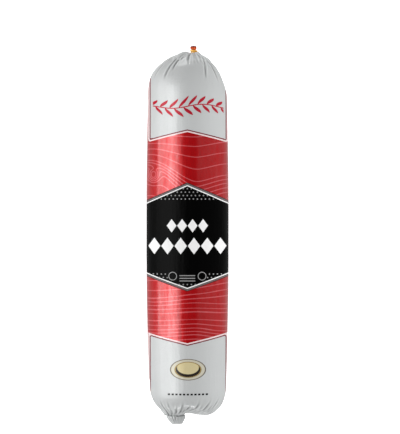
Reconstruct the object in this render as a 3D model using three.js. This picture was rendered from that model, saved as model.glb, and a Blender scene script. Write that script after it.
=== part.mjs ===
// A clipped chub of cured sausage lying on its side: ground meat stuffed into a printed film casing,
// with the casing gathered and closed by a crimped wire clip at each end.
// Millimetres. +X across, +Y along the sausage to the hung end, +Z up.
// The origin is on the surface it rests on, below the middle of the whole length.
import * as THREE from "three";

// Driving dimensions
const DIAMETER = 66; // of the stuffed casing at its middle
const LENGTH = 303.6; // cut end of one casing tail to cut end of the other
const FILM = 0.5; // casing wall; the real film is under 0.1
const GAP = 0.3; // left between pieces that touch
const SIDES = 36; // facets around the sausage
const CONTACT_ANGLE = THREE.MathUtils.degToRad(10); // half the arc that lies flat on the surface

// The two ends. Distances along are from the middle of the length.
// shoulder: where the barrel turns into the dome. tip: far point of the dome before it is dimpled.
// shrink: how much slimmer the barrel's radius is at the shoulder. power: squareness of the dome.
// dimple: how far the gathers sink around the neck. foot: radius where the gathers leave the dome,
// and cone: how they then stand up to the neck. tail and mouth: the cut film past the clip.
// shift: how far the neck is pulled off the axis; shares of the dome's radius up to full are carried
// all the way, and those past reach stay put. clip: its wire, wound to finish at the angle end,
// counted from +X towards +Z.
const HUNG_END = {
  side: 1,
  shoulder: 109.5,
  tip: 147,
  shrink: 1.25,
  power: 2,
  dimple: { depth: 2.2, width: 4.5 },
  foot: 1.2,
  cone: [],
  neck: { radius: 1.2, bore: 0.5, from: 145.3, to: 148.9 },
  tail: [{ radius: 2.2, along: 149.7 }],
  mouth: 2.4,
  shift: { amount: 6, full: 0, reach: 1, power: 3 },
  clip: { at: 147, thickness: 1.3, turns: 1.3, pitch: 1.5, spread: 1.2, end: 170 },
};
const LOWER_END = {
  side: -1,
  shoulder: 117,
  tip: 146,
  shrink: 1.9,
  power: 2.8,
  dimple: { depth: 3.2, width: 11 },
  foot: 9.6,
  cone: [
    { radius: 8.1, along: 145.2 },
    { radius: 7.6, along: 146 },
    { radius: 6.4, along: 146.8 },
  ],
  neck: { radius: 3, bore: 1.2, from: 147.1, to: 150.2 },
  tail: [{ radius: 4.9, along: 150.7 }],
  mouth: 4.7,
  shift: { amount: -9.3, full: 0.25, reach: 0.75, power: 1.5 },
  clip: { at: 148.7, thickness: 2.4, turns: 0.975, pitch: 0, spread: 0, end: -95 },
};

const BARREL_RINGS = 8;
const DOME_RINGS = 10;
const WIRE_STEPS = 30;
const WIRE_SIDES = 6;

const MATERIALS = {
  film: { color: 0xd9dcda, roughness: 0.3, metalness: 0 },
  meat: { color: 0x7a3128, roughness: 0.6, metalness: 0 },
  copperLacquer: { color: 0xd8862f, roughness: 0.25, metalness: 1 },
  aluminium: { color: 0xc9cbce, roughness: 0.3, metalness: 1 },
};

// Radius of the barrel at y: fullest in the middle and slimmer towards both shoulders.
function barrelRadius(y) {
  const end = y > 0 ? HUNG_END : LOWER_END;
  const along = Math.min(Math.abs(y) / end.shoulder, 1);
  return DIAMETER / 2 - end.shrink * along ** 2;
}

// Height of the sausage's centre line at y: the slimmer ends sag until the whole barrel touches down.
function centreHeight(y) {
  return barrelRadius(y) * Math.cos(CONTACT_ANGLE);
}

// How far the pull on the neck carries a point of the end that is radius away from the axis.
function sideShift(end, radius) {
  const share = radius / barrelRadius(end.side * end.shoulder);
  const { amount, full, reach, power } = end.shift;
  return amount * THREE.MathUtils.clamp((reach - share) / (reach - full), 0, 1) ** power;
}

// Dome of one end from its shoulder to innerRadius, as [radius, distance along],
// lying depth inside the film's outside.
function domeProfile(end, depth, innerRadius) {
  const outer = barrelRadius(end.side * end.shoulder) - depth;
  const rise = end.tip - depth - end.shoulder;
  const last = Math.asin((innerRadius / outer) ** (end.power / 2));
  const points = [];
  for (let i = 0; i <= DOME_RINGS; i += 1) {
    const angle = THREE.MathUtils.lerp(Math.PI / 2, last, i / DOME_RINGS);
    const radius = i === DOME_RINGS ? innerRadius : outer * Math.sin(angle) ** (2 / end.power);
    const height = rise * Math.cos(angle) ** (2 / end.power);
    const sunk = end.dimple.depth * Math.exp(-((radius / end.dimple.width) ** 2));
    points.push([radius, end.shoulder + height - sunk]);
  }
  return points;
}

// Dome, cone, neck, tail and cut mouth of one end, on the film's outside (depth 0) or inside (depth FILM).
function filmEndProfile(end, depth) {
  const { neck } = end;
  const neckRadius = depth > 0 ? neck.bore : neck.radius;
  return [
    ...domeProfile(end, depth, Math.max(end.foot - depth, neckRadius)),
    ...end.cone.map(({ radius, along }) => [radius - depth, along]),
    [neckRadius, neck.from],
    [neckRadius, neck.to],
    ...end.tail.map(({ radius, along }) => [radius - depth, along]),
    [end.mouth - depth, LENGTH / 2],
  ];
}

// One layer of the sausage from the far point of the lower end to that of the hung end, as [radius, y].
// endProfile gives either end; the barrel's rings run between the shoulders that it starts from.
function layerProfile(depth, endProfile) {
  const placed = (end) => endProfile(end, depth).map(([radius, along]) => [radius, end.side * along]);
  const barrel = [];
  for (let i = 1; i < BARREL_RINGS; i += 1) {
    const y = THREE.MathUtils.lerp(-LOWER_END.shoulder, HUNG_END.shoulder, i / BARREL_RINGS);
    barrel.push([barrelRadius(y) - depth, y]);
  }
  return [...placed(LOWER_END).reverse(), ...barrel, ...placed(HUNG_END)];
}

// Turns a profile about the sausage's axis and lays it down: the necks are pulled off the axis,
// and the lowest strip is pressed flat. depths holds each profile point's depth inside the film.
function layDown(profile, depths) {
  const geometry = new THREE.LatheGeometry(profile.map(([radius, y]) => new THREE.Vector2(radius, y)), SIDES);
  const position = geometry.attributes.position;
  for (let i = 0; i < position.count; i += 1) {
    const [x, y, z] = [position.getX(i), position.getY(i), position.getZ(i)];
    const shift = sideShift(y > 0 ? HUNG_END : LOWER_END, Math.hypot(x, z));
    const height = Math.max(z + centreHeight(y), depths[i % profile.length]);
    position.setXYZ(i, x + shift, y, height);
  }
  geometry.computeVertexNormals();
  return geometry;
}

// The casing is a tube: along its outside, round the hung end's mouth and back along its inside.
function casingGeometry() {
  const outside = layerProfile(0, filmEndProfile);
  const inside = layerProfile(FILM, filmEndProfile).reverse();
  const depths = [...outside.map(() => 0), ...inside.map(() => FILM), 0];
  return layDown([...outside, ...inside, outside[0]], depths);
}

// The meat fills the casing from dome to dome.
function meatGeometry() {
  const profile = layerProfile(FILM + GAP, (end, depth) => domeProfile(end, depth, 0));
  return layDown(profile, profile.map(() => FILM + GAP));
}

// Centre line of a clip's wire, wound about Y: past one turn its legs lie side by side,
// and spread carries the last leg outwards.
class CrimpedWire extends THREE.Curve {
  constructor(radius, { turns, pitch, spread, end }) {
    super();
    Object.assign(this, { radius, turns, pitch, spread, end });
  }

  getPoint(t, target = new THREE.Vector3()) {
    const angle = THREE.MathUtils.degToRad(this.end - (1 - t) * this.turns * 360);
    const radius = this.radius + this.spread * t ** 6;
    const along = (t - 0.5) * this.turns * this.pitch;
    return target.set(radius * Math.cos(angle), along, radius * Math.sin(angle));
  }
}

// The wire clip crimped round the neck of one end.
function clipGeometry({ side, neck, clip }) {
  const section = new THREE.Shape();
  section.absarc(0, 0, clip.thickness / 2, 0, 2 * Math.PI);
  const centreLine = new CrimpedWire(neck.radius + GAP + clip.thickness / 2, clip);
  return new THREE.ExtrudeGeometry(section, {
    steps: WIRE_STEPS,
    curveSegments: WIRE_SIDES,
    extrudePath: centreLine,
  }).translate(0, side * clip.at, 0);
}

function piece(name, geometry, finish) {
  const mesh = new THREE.Mesh(geometry, new THREE.MeshStandardMaterial(MATERIALS[finish]));
  mesh.name = name;
  return mesh;
}

const sausage = new THREE.Group();
sausage.add(piece("printed_casing", casingGeometry(), "film"));
sausage.add(piece("meat_filling", meatGeometry(), "meat"));

// Each clip is centred on its own neck.
for (const [name, end, finish] of [
  ["hung_end_clip", HUNG_END, "copperLacquer"],
  ["lower_end_clip", LOWER_END, "aluminium"],
]) {
  const clip = piece(name, clipGeometry(end), finish);
  clip.position.set(sideShift(end, end.neck.radius), 0, centreHeight(end.side * end.clip.at));
  sausage.add(clip);
}

export default sausage;
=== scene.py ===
"""A clipped chub of cured sausage, lying on its back with the printed front up.

Every size below is in millimetres, with +X across, +Y along the sausage to its hung end and +Z up.
Meshes are turned to metres as they are made.
"""

import bpy
import numpy as np
from mathutils import Matrix, Vector


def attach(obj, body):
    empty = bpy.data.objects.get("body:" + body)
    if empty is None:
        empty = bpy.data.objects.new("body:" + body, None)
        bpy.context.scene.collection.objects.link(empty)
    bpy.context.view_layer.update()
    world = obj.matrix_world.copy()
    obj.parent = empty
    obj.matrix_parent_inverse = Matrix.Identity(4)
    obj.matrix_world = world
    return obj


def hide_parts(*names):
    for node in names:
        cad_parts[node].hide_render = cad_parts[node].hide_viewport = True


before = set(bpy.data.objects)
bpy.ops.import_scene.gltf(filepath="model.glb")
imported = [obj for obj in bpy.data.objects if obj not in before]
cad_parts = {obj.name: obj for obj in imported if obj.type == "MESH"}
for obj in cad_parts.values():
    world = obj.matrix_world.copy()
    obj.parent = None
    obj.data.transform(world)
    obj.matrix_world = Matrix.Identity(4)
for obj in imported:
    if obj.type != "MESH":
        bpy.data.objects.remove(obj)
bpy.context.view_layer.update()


# ---------------------------------------------------------------------------------------------
# The meat: one mass of coarse ground meat with flecks of fat, pumped tight into the casing and
# cured until it is firm. Nothing fastens it: the casing holds it on all sides.
# ---------------------------------------------------------------------------------------------

MM = 0.001
MIDDLE_RADIUS = 33.0
CONTACT_ANGLE = np.radians(10.0)  # half the arc that the weight presses flat
HUNG = {
    "side": 1,
    "shoulder": 109.5,
    "shrink": 1.25,
    "tip": 147.0,
    "power": 2.0,
    "dimple": 2.2,
    "dimple_width": 4.5,
    "pull": 6.0,
    "pulled_whole": 0.0,
    "pulled_until": 1.0,
    "pull_power": 3.0,
}
LOWER = {
    "side": -1,
    "shoulder": 117.0,
    "shrink": 1.9,
    "tip": 146.0,
    "power": 2.8,
    "dimple": 3.2,
    "dimple_width": 11.0,
    "pull": -9.3,
    "pulled_whole": 0.25,
    "pulled_until": 0.75,
    "pull_power": 1.5,
}
LEAN = 1.2  # the hung end's dome also leans a little towards -X
LEAN_AT, LEAN_WIDTH = 127.0, 12.0


def barrel_radius(y):
    """The middle radius, less each end's shrink times the square of y's share of the way to its shoulder."""
    shoulder = np.where(y > 0, HUNG["shoulder"], LOWER["shoulder"])
    shrink = np.where(y > 0, HUNG["shrink"], LOWER["shrink"])
    return MIDDLE_RADIUS - shrink * np.minimum(np.abs(y) / shoulder, 1) ** 2


def dome(end, depth, inner_radius, rings):
    """Radius and distance along of an end's dome, from its shoulder in to inner_radius.

    A superellipse: radius and rise are the sine and cosine of a running angle, each to the power of two over
    the dome's squareness. The dimple, a bell curve of the radius, is taken off the rise.
    """
    widest = barrel_radius(end["side"] * end["shoulder"]) - depth
    last = np.arcsin((inner_radius / widest) ** (end["power"] / 2))
    angle = np.linspace(np.pi / 2, last, rings)
    radius = widest * np.sin(angle) ** (2 / end["power"])
    radius[-1] = inner_radius
    rise = (end["tip"] - depth - end["shoulder"]) * np.cos(angle) ** (2 / end["power"])
    sunk = end["dimple"] * np.exp(-((radius / end["dimple_width"]) ** 2))
    return radius, end["shoulder"] + rise - sunk


def lay_down(radius, y, angle, depth, ring_radius):
    """Points of rings that are radius from the axis at an angle from straight up, as the sausage lies.

    Across: radius times the sine of the angle, plus the pull on the neck, which is whole for the innermost
    rings and falls to nothing at an outer share of the dome's radius. Height: the slimmer ends sag until the
    barrel touches down, and what would lie lower than depth is pressed flat to it.
    """
    across = radius * np.sin(angle)
    for end in (HUNG, LOWER):
        share = ring_radius / barrel_radius(end["side"] * end["shoulder"])
        slack = np.clip((end["pulled_until"] - share) / (end["pulled_until"] - end["pulled_whole"]), 0, 1)
        across = across + end["pull"] * slack ** end["pull_power"] * (np.sign(y) == end["side"])
    across = across - LEAN * np.exp(-(((y - LEAN_AT) / LEAN_WIDTH) ** 2))
    height = barrel_radius(y) * np.cos(CONTACT_ANGLE) + radius * np.cos(angle)
    return np.stack([across, y + 0 * angle, np.maximum(height, depth)], axis=-1)


def new_piece(name, points, faces, material, smooth=True):
    """A mesh object in metres from points in millimetres and faces as rows of point numbers."""
    mesh = bpy.data.meshes.new(name)
    mesh.from_pydata((points.reshape(-1, 3) * MM).tolist(), [], faces.tolist())
    mesh.polygons.foreach_set("use_smooth", np.full(len(mesh.polygons), smooth))
    mesh.materials.append(material)
    mesh.update()
    made = bpy.data.objects.new(name, mesh)
    bpy.context.scene.collection.objects.link(made)
    return made


def net(rows, columns, rows_closed=False):
    """Four-sided faces between neighbouring rows and columns of a grid. The columns close on themselves."""
    first = np.arange(rows if rows_closed else rows - 1)[:, None]
    second = (first + 1) % rows
    column = np.arange(columns)[None, :]
    beside = (column + 1) % columns
    first, second = first * columns, second * columns
    corners = [first + column, first + beside, second + beside, second + column]
    return np.stack(corners, axis=-1).reshape(-1, 4)


def linear(code):
    """A six-digit sRGB colour as linear RGBA: the standard curve, straight at first, then a power of 2.4."""
    parts = np.array([int(code[i : i + 2], 16) for i in (1, 3, 5)]) / 255
    curved = np.where(parts <= 0.04045, parts / 12.92, ((parts + 0.055) / 1.055) ** 2.4)
    return (*curved.tolist(), 1.0)


def add(tree, kind, settings=None, inputs=None):
    """Adds one node, sets its settings, and gives each of its inputs a value or links it to a socket."""
    made = tree.nodes.new(kind)
    for key, value in (settings or {}).items():
        setattr(made, key, value)
    for key, value in (inputs or {}).items():
        if isinstance(value, bpy.types.NodeSocket):
            tree.links.new(value, made.inputs[key])
        else:
            made.inputs[key].default_value = value
    return made


def new_material(name):
    """An empty material and its node tree."""
    made = bpy.data.materials.new(name)
    made.use_nodes = True
    made.node_tree.nodes.clear()
    return made, made.node_tree


# Coarse ground cured meat: dark red lean in 5 mm grains with paler fat between, moist on the surface.
# To the eye: a marbled, slightly wet red.
MEAT_GRAIN = 5.0
cured_meat, tree = new_material("coarse_ground_cured_meat")
place = add(tree, "ShaderNodeTexCoord").outputs["Object"]
grains = add(tree, "ShaderNodeTexVoronoi", inputs={"Vector": place, "Scale": 1 / (MEAT_GRAIN * MM)})
grain_shade = add(tree, "ShaderNodeSeparateColor", inputs={"Color": grains.outputs["Color"]})
lean_or_fat = add(tree, "ShaderNodeValToRGB", inputs={"Fac": grain_shade.outputs["Red"]})
stops = lean_or_fat.color_ramp.elements
stops[0].position, stops[0].color = 0.0, linear("#5e1a17")
stops[1].position, stops[1].color = 1.0, linear("#e3c2ae")
for position, colour in ((0.45, "#7b2a22"), (0.72, "#8e3a2c"), (0.8, "#d9ac97")):
    stop = stops.new(position)
    stop.color = linear(colour)
height = grains.outputs["Distance"]
lumps = add(tree, "ShaderNodeBump", inputs={"Strength": 0.5, "Distance": 0.4 * MM, "Height": height})
wet = add(tree, "ShaderNodeBsdfPrincipled", inputs={"Roughness": 0.45, "Normal": lumps.outputs["Normal"]})
tree.links.new(lean_or_fat.outputs["Color"], wet.inputs["Base Color"])
add(tree, "ShaderNodeOutputMaterial", inputs={"Surface": wet.outputs["BSDF"]})

MEAT_DEPTH = 0.9  # how far inside the film's outside the barrel of meat lies
MEAT_DOME_DEPTH = 4.9  # the gathers and their dents take more room at the ends
MEAT_SIDES, MEAT_DOME_RINGS, MEAT_BARREL_RINGS = 128, 24, 40
low_r, low_y = dome(LOWER, MEAT_DOME_DEPTH, 0.8, MEAT_DOME_RINGS)
hung_r, hung_y = dome(HUNG, MEAT_DOME_DEPTH, 0.8, MEAT_DOME_RINGS)
barrel_y = np.linspace(-LOWER["shoulder"], HUNG["shoulder"], MEAT_BARREL_RINGS + 2)[1:-1]
ring_r = np.concatenate([low_r[::-1], barrel_radius(barrel_y) - MEAT_DEPTH, hung_r])
ring_y = np.concatenate([-low_y[::-1], barrel_y, hung_y])
around = np.arange(MEAT_SIDES) * 2 * np.pi / MEAT_SIDES
skin = lay_down(ring_r[:, None], ring_y[:, None], around[None, :], MEAT_DEPTH, ring_r[:, None])
ends = np.stack([skin[0].mean(axis=0), skin[-1].mean(axis=0)])
count = skin.shape[0] * MEAT_SIDES
walls = net(skin.shape[0], MEAT_SIDES)
wall_triangles = np.concatenate([walls[:, [0, 1, 2]], walls[:, [0, 2, 3]]])
edge = np.arange(MEAT_SIDES)
beside = (edge + 1) % MEAT_SIDES
low_cap = np.stack([np.full(MEAT_SIDES, count), beside, edge], axis=-1)
last_ring = count - MEAT_SIDES
hung_cap = np.stack([np.full(MEAT_SIDES, count + 1), last_ring + edge, last_ring + beside], axis=-1)
meat = new_piece(
    "meat",
    np.concatenate([skin.reshape(-1, 3), ends]),
    np.concatenate([wall_triangles, low_cap, hung_cap]),
    cured_meat,
)
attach(meat, "root")
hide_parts("meat_filling")


# ---------------------------------------------------------------------------------------------
# The casing: one tube of thin blown film, printed before it is filled. At both ends it is drawn
# together into folds, closed by a clip, and cut off a few millimetres past it.
# ---------------------------------------------------------------------------------------------

LENGTH = 303.6
WALL = 0.3  # thicker than real film, so that the cut mouths show an edge
SIDES = 324
FOLD_ROOM = 0.01  # keeps the film's skin just inside its drawn size
# Past each dome: radius and distance along, out to the cut mouth. Past the lower clip the film springs out
# and back over it as a short skirt, which hides the clip from every side.
HUNG_TAIL = ((1.2, 145.3), (1.0, 146.0), (1.0, 148.5), (2.1, 148.9), (2.5, 149.7), (2.3, 150.7))
HUNG_TAIL += ((1.5, LENGTH / 2),)
LOWER_TAIL = ((9.6, 144.1), (7.2, 144.6), (4.6, 145.5), (2.8, 146.5), (2.4, 147.2), (2.4, 150.0))
LOWER_TAIL += ((2.7, 150.9), (3.2, LENGTH / 2 + 0.1), (4.1, 151.5), (4.8, 150.3), (5.8, 148.5), (6.8, 146.8))
LOWER_TAIL += ((7.4, 145.7), (7.4, 145.1), (7.0, 144.9))
HUNG_TAIL_WAY, LOWER_TAIL_WAY, SKIRT_WAY = 7.5, 19.0, 8.2  # from the mouths along the film
SAMPLE = 0.05  # spacing of the fine line that the rings are picked from
ROUNDED = 15  # how many samples each bend is rounded over
KNOT_Y, KNOT_HALF = 47.5, 14.0  # where the printed wood grain has its knot, which takes closer rings


def outline(barrel_step, dome_step, tail_step):
    """Radius, distance along, outward direction and distance from the nearer mouth of the film's rings.

    The tails and domes are joined into one line from the lower mouth to the hung one. It is sampled finely,
    rounded by a moving average, and then stepped along with the wanted spacing of each part.
    """
    parts = []
    for end, tail in ((LOWER, LOWER_TAIL), (HUNG, HUNG_TAIL)):
        tail_r, tail_y = np.array(tail).T
        dome_r, dome_y = dome(end, 0.0, tail_r[0], 90)
        r = np.concatenate([dome_r, tail_r[1:]])
        y = end["side"] * np.concatenate([dome_y, tail_y[1:]])
        parts.append((r[::-1], y[::-1]) if end is LOWER else (r, y))
    middle_y = np.linspace(-LOWER["shoulder"], HUNG["shoulder"], 60)[1:-1]
    r = np.concatenate([parts[0][0], barrel_radius(middle_y), parts[1][0]]) - FOLD_ROOM
    y = np.concatenate([parts[0][1], middle_y, parts[1][1]])
    walked = np.concatenate([[0], np.cumsum(np.hypot(np.diff(r), np.diff(y)))])
    fine = np.arange(0, walked[-1], SAMPLE)
    fine_r, fine_y = np.interp(fine, walked, r), np.interp(fine, walked, y)
    window = np.ones(ROUNDED) / ROUNDED
    held = ROUNDED // 2  # samples at each mouth that stay as they are
    for line in (fine_r, fine_y):
        line[held:-held] = np.convolve(line, window, "valid")
    turn_r, turn_y = np.gradient(fine_r), np.gradient(fine_y)
    size = np.hypot(turn_r, turn_y)
    from_mouth = np.minimum(fine, fine[-1] - fine)
    in_tail = from_mouth < np.where(fine_y > 0, HUNG_TAIL_WAY, LOWER_TAIL_WAY)
    in_knot = np.abs(fine_y - KNOT_Y) < KNOT_HALF
    in_barrel = (fine_y < HUNG["shoulder"]) & (fine_y > -LOWER["shoulder"]) & ~in_knot
    step = np.where(in_tail, tail_step, np.where(in_barrel, barrel_step, dome_step))
    passed = np.cumsum(SAMPLE / step)
    rings = int(passed[-1])
    at = np.interp(np.linspace(passed[0], passed[-1], rings), passed, np.arange(len(fine)))
    values = (fine_r, fine_y, turn_y / size, -turn_r / size, from_mouth)
    return [np.interp(at, np.arange(len(fine)), v)[:, None] for v in values]


def smooth(x):
    """Rises from 0 to 1 as x does, level at both ends."""
    x = np.clip(x, 0, 1)
    return x * x * (3 - 2 * x)


def folds_of(chosen, count, reach, depth, curl, seed):
    """The folds of one end, one row each: angle and radius of the outer end, width, depth and curl.

    First the chosen ones, then a ring of count more, evenly spaced and nudged at random. Angles are in
    degrees from straight up towards +X, and curl is how far the fold would turn on its way to the middle.
    """
    rng = np.random.default_rng(seed)
    angle = (np.arange(count) + rng.uniform(-0.4, 0.4, count)) * 360 / count
    out_to = reach[0] + (reach[1] - reach[0]) * rng.random(count)
    width = rng.uniform(0.5, 0.85, count)
    pinch = rng.uniform(*depth, count)
    turned = curl[0] + curl[1] * np.sin(np.radians(angle)) + rng.uniform(-8, 8, count)
    more = np.stack([angle, out_to, width, pinch, turned], axis=-1)
    return np.concatenate([np.array(chosen, float), more])


def fold_depth(folds, angle, radius):
    """How far the gathered film sinks at an angle on rings of a radius.

    Each fold is a narrow valley between two softer ridges, measured in millimetres round the ring: a bell
    curve less half of another beside it. It fades in over its outermost few millimetres, is never wider than
    its share of the ring, and curls on its way in.
    """
    sunk = np.zeros(np.broadcast_shapes(angle.shape, radius.shape))
    room = 2 * np.pi * radius / len(folds)
    for centre, out_to, width, pinch, curl in folds:
        turn = angle - np.radians(centre - curl * (1 - radius / out_to))
        turn = (turn + np.pi) % (2 * np.pi) - np.pi
        narrowed = np.minimum(width, 0.55 * room)
        off = np.abs(radius * turn) / narrowed
        valley = np.exp(-(off**2)) - 0.55 * np.exp(-((off - 1.9) ** 2))
        sunk += pinch * smooth((out_to - radius) / 3.2) * (narrowed / width) * valley
    return sunk


# angle in degrees from straight up towards +X, radius reached, width, depth, curl in degrees
HUNG_FOLDS = folds_of(
    (
        (-36, 30.0, 0.9, 0.65, -14),
        (-24, 27.0, 0.8, 0.5, 0),
        (-28, 22.5, 1.0, 0.6, -60),
        (-62, 29.5, 0.9, 0.5, -10),
        (-82, 30.0, 1.0, 0.7, -6),
        (0, 21.0, 1.1, 0.8, -6),
        (31, 30.0, 0.8, 0.6, -38),
        (59, 30.5, 0.9, 0.65, 0),
        (84, 29.0, 0.9, 0.6, 4),
        (112, 30.0, 0.9, 0.6, 8),
        (140, 30.5, 0.9, 0.6, 12),
        (-112, 30.0, 0.9, 0.55, -8),
        (-141, 30.5, 0.9, 0.6, -8),
        (176, 30.0, 0.9, 0.6, 4),
    ),
    20,
    (20.0, 28.0),
    (0.2, 0.42),
    (0, 0),
    5,
)
HUNG_FOLDS = folds_of(HUNG_FOLDS, 30, (14.0, 21.5), (0.35, 0.6), (0, 0), 8)
LOWER_FOLDS = folds_of(
    (
        (-6, 29.8, 0.8, 0.5, 28),
        (7, 28.5, 0.8, 0.5, 38),
        (22, 29.8, 0.8, 0.5, 46),
        (40, 30.2, 0.9, 0.6, 54),
        (49, 29.0, 0.8, 0.45, 58),
        (58, 30.6, 0.9, 0.65, 61),
        (74, 30.6, 0.9, 0.6, 50),
        (-18, 29.0, 0.8, 0.4, 18),
        (-33, 30.0, 0.8, 0.5, 8),
        (-49, 30.2, 0.9, 0.55, 0),
        (-68, 30.4, 0.9, 0.55, 0),
        (-86, 30.0, 0.9, 0.5, 0),
        (98, 30.4, 0.9, 0.6, 56),
        (124, 30.4, 0.9, 0.5, 50),
        (150, 30.4, 0.9, 0.55, 44),
        (-112, 30.4, 0.9, 0.5, 4),
        (-138, 30.4, 0.9, 0.55, 8),
        (-163, 30.4, 0.9, 0.5, 20),
    ),
    46,
    (21.0, 30.6),
    (0.22, 0.48),
    (30, 30),
    11,
)
COLLAR, COLLAR_LIFT = 19.5, 0.4  # inside this radius the hung end's film stands loose off the meat
# The last number sets how much painted shade and painted highlight the fine pleats put on the ink.
FINE_PLEATS, FINE_PLEAT_DEPTH, FINE_PLEAT_PAINTED_SHADE = 41, 0.1, 0.22  # how many round the tube
# The hung end's dome is drawn straight towards the clip: how deep it sinks at each radius, and how much
# deeper above and below the clip, where a valley of a given half angle and half width runs up to it.
HUNG_SINK = (
    (0.0, 2.0, 4.0, 5.7, 7.8, 10.5, 15.0, 19.6, 23.8),
    (0.0, 0.0, -0.3, -0.45, 0.4, 1.2, 0.95, 0.55, 0.0),
)
VALLEY_DEPTH, VALLEY_HALF_ANGLE, VALLEY_RADIUS, VALLEY_HALF_WIDTH = 1.2, 38.0, 5.0, 4.5
# Broad dents of the lower dome: angle and radius of the middle, half widths of both, and depth. The film
# runs straight into the tail from the left side, and from above.
LOWER_DENTS = ((-92, 25.0, 48, 6.5, 1.9), (-14, 16.0, 42, 6.0, 1.0))
# Each end's outline from above: how far the end face is moved along +Y at each place across. At the lower
# end, beside the clip on the right, a deep tuck parts it from a full round lobe.
LOWER_TUCK = (
    (-10.0, -5.0, -2.0, 0.0, 2.0, 4.0, 8.0, 12.0, 18.0, 23.0, 28.0),
    (0.0, 0.8, 2.2, 2.5, 2.5, 2.0, 0.9, 0.0, -0.9, 0.0, 0.4),
)
HUNG_TUCK = (
    (-30.0, -25.0, -20.0, -9.0, -6.0, 7.0, 9.0, 12.0, 20.0, 25.0, 30.0),
    (0.0, -0.4, -0.2, -0.2, 0.2, 0.2, -0.3, -0.5, -0.5, -0.4, 0.0),
)
LOWER_TUCK_FROM, HUNG_TUCK_FROM, TUCK_WAY = 134.0, 125.0, 8.0  # where each starts, and its way in
TAIL_LEAN, LEAN_FROM, LEAN_WAY = 0.7, 145.5, 6.0  # the skirt leans to the right on its way out
INNER_SLACK = 1.2  # how much deeper than the wall the film's inside is taken under the folds
SLACK_FROM, SLACK_WAY = 106.0, 8.0  # distance along where it starts, and its way in
SWELL = 0.07  # how far the barrel falls short of round
HUNG_RUFFLE, HUNG_RUFFLE_WAY = 0.5, 3.2  # how far a mouth waves in and out, and over what length
SKIRT_PLEAT, SKIRT_PAINTED_SHADE = 0.75, 0.35  # how high the skirt's pleats are, and how much they are shaded
RAGGED_WAY, LOWER_RAGGED, HUNG_RAGGED = 3.5, 0.15, 0.3  # how uneven the cuts are
LEAST_RADIUS = 0.25  # the film never closes on itself


def ruffle(angle, seed):
    """Uneven waves round a mouth, between about -1 and 1: six sines of 3 to 29 waves with random phases."""
    rng = np.random.default_rng(seed)
    waves = 0
    for count, size in ((3, 0.4), (5, 0.3), (8, 0.35), (13, 0.45), (19, 0.4), (29, 0.25)):
        waves = waves + size * np.sin(count * angle + rng.uniform(0, 2 * np.pi))
    return waves / 1.3


def hung_shape(angle, radius):
    """How far the hung dome sinks besides its folds, where its film is loose, and where it is finely pleated.

    The sink is read off against the radius. The valley is a bell curve of the angle from straight up or down
    and of the radius. The film is loose inside a wavy edge, a circle with three sines of the angle added, and
    finely pleated from a little outside that edge. The last two go from 0 to 1.
    """
    edge = COLLAR + 1.1 * np.sin(3 * angle + 1) + 0.8 * np.sin(8 * angle) + 0.5 * np.sin(17 * angle)
    loose = smooth((edge - radius) / 1.3) * smooth((radius - 1.5) / 5)
    up_or_down = np.abs((np.degrees(angle) + 90) % 180 - 90)
    beside = (radius - VALLEY_RADIUS) / VALLEY_HALF_WIDTH
    valley = np.exp(-((up_or_down / VALLEY_HALF_ANGLE) ** 2) - beside**2)
    sink = np.interp(radius, *HUNG_SINK) * smooth((radius - 1.2) / 2)
    sink = sink + VALLEY_DEPTH * valley * smooth((radius - 1.2) / 3) - COLLAR_LIFT * loose
    near = smooth((edge + 2.5 - radius) / 3) * smooth((radius - 6) / 6)
    return sink, loose, near


def lower_shape(angle, radius):
    """How far the lower dome sinks besides its folds, and how finely pleated it is.

    The sink is a bell curve of angle and radius for each dent. The pleats come in and go out with the radius.
    """
    sink = 0
    for centre, at, half_angle, half_width, dent in LOWER_DENTS:
        turn = (np.degrees(angle) - centre + 180) % 360 - 180
        sink = sink + dent * np.exp(-((turn / half_angle) ** 2) - ((radius - at) / half_width) ** 2)
    return sink, 1.1 * smooth((30 - radius) / 6) * smooth((radius - 13) / 6)


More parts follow.
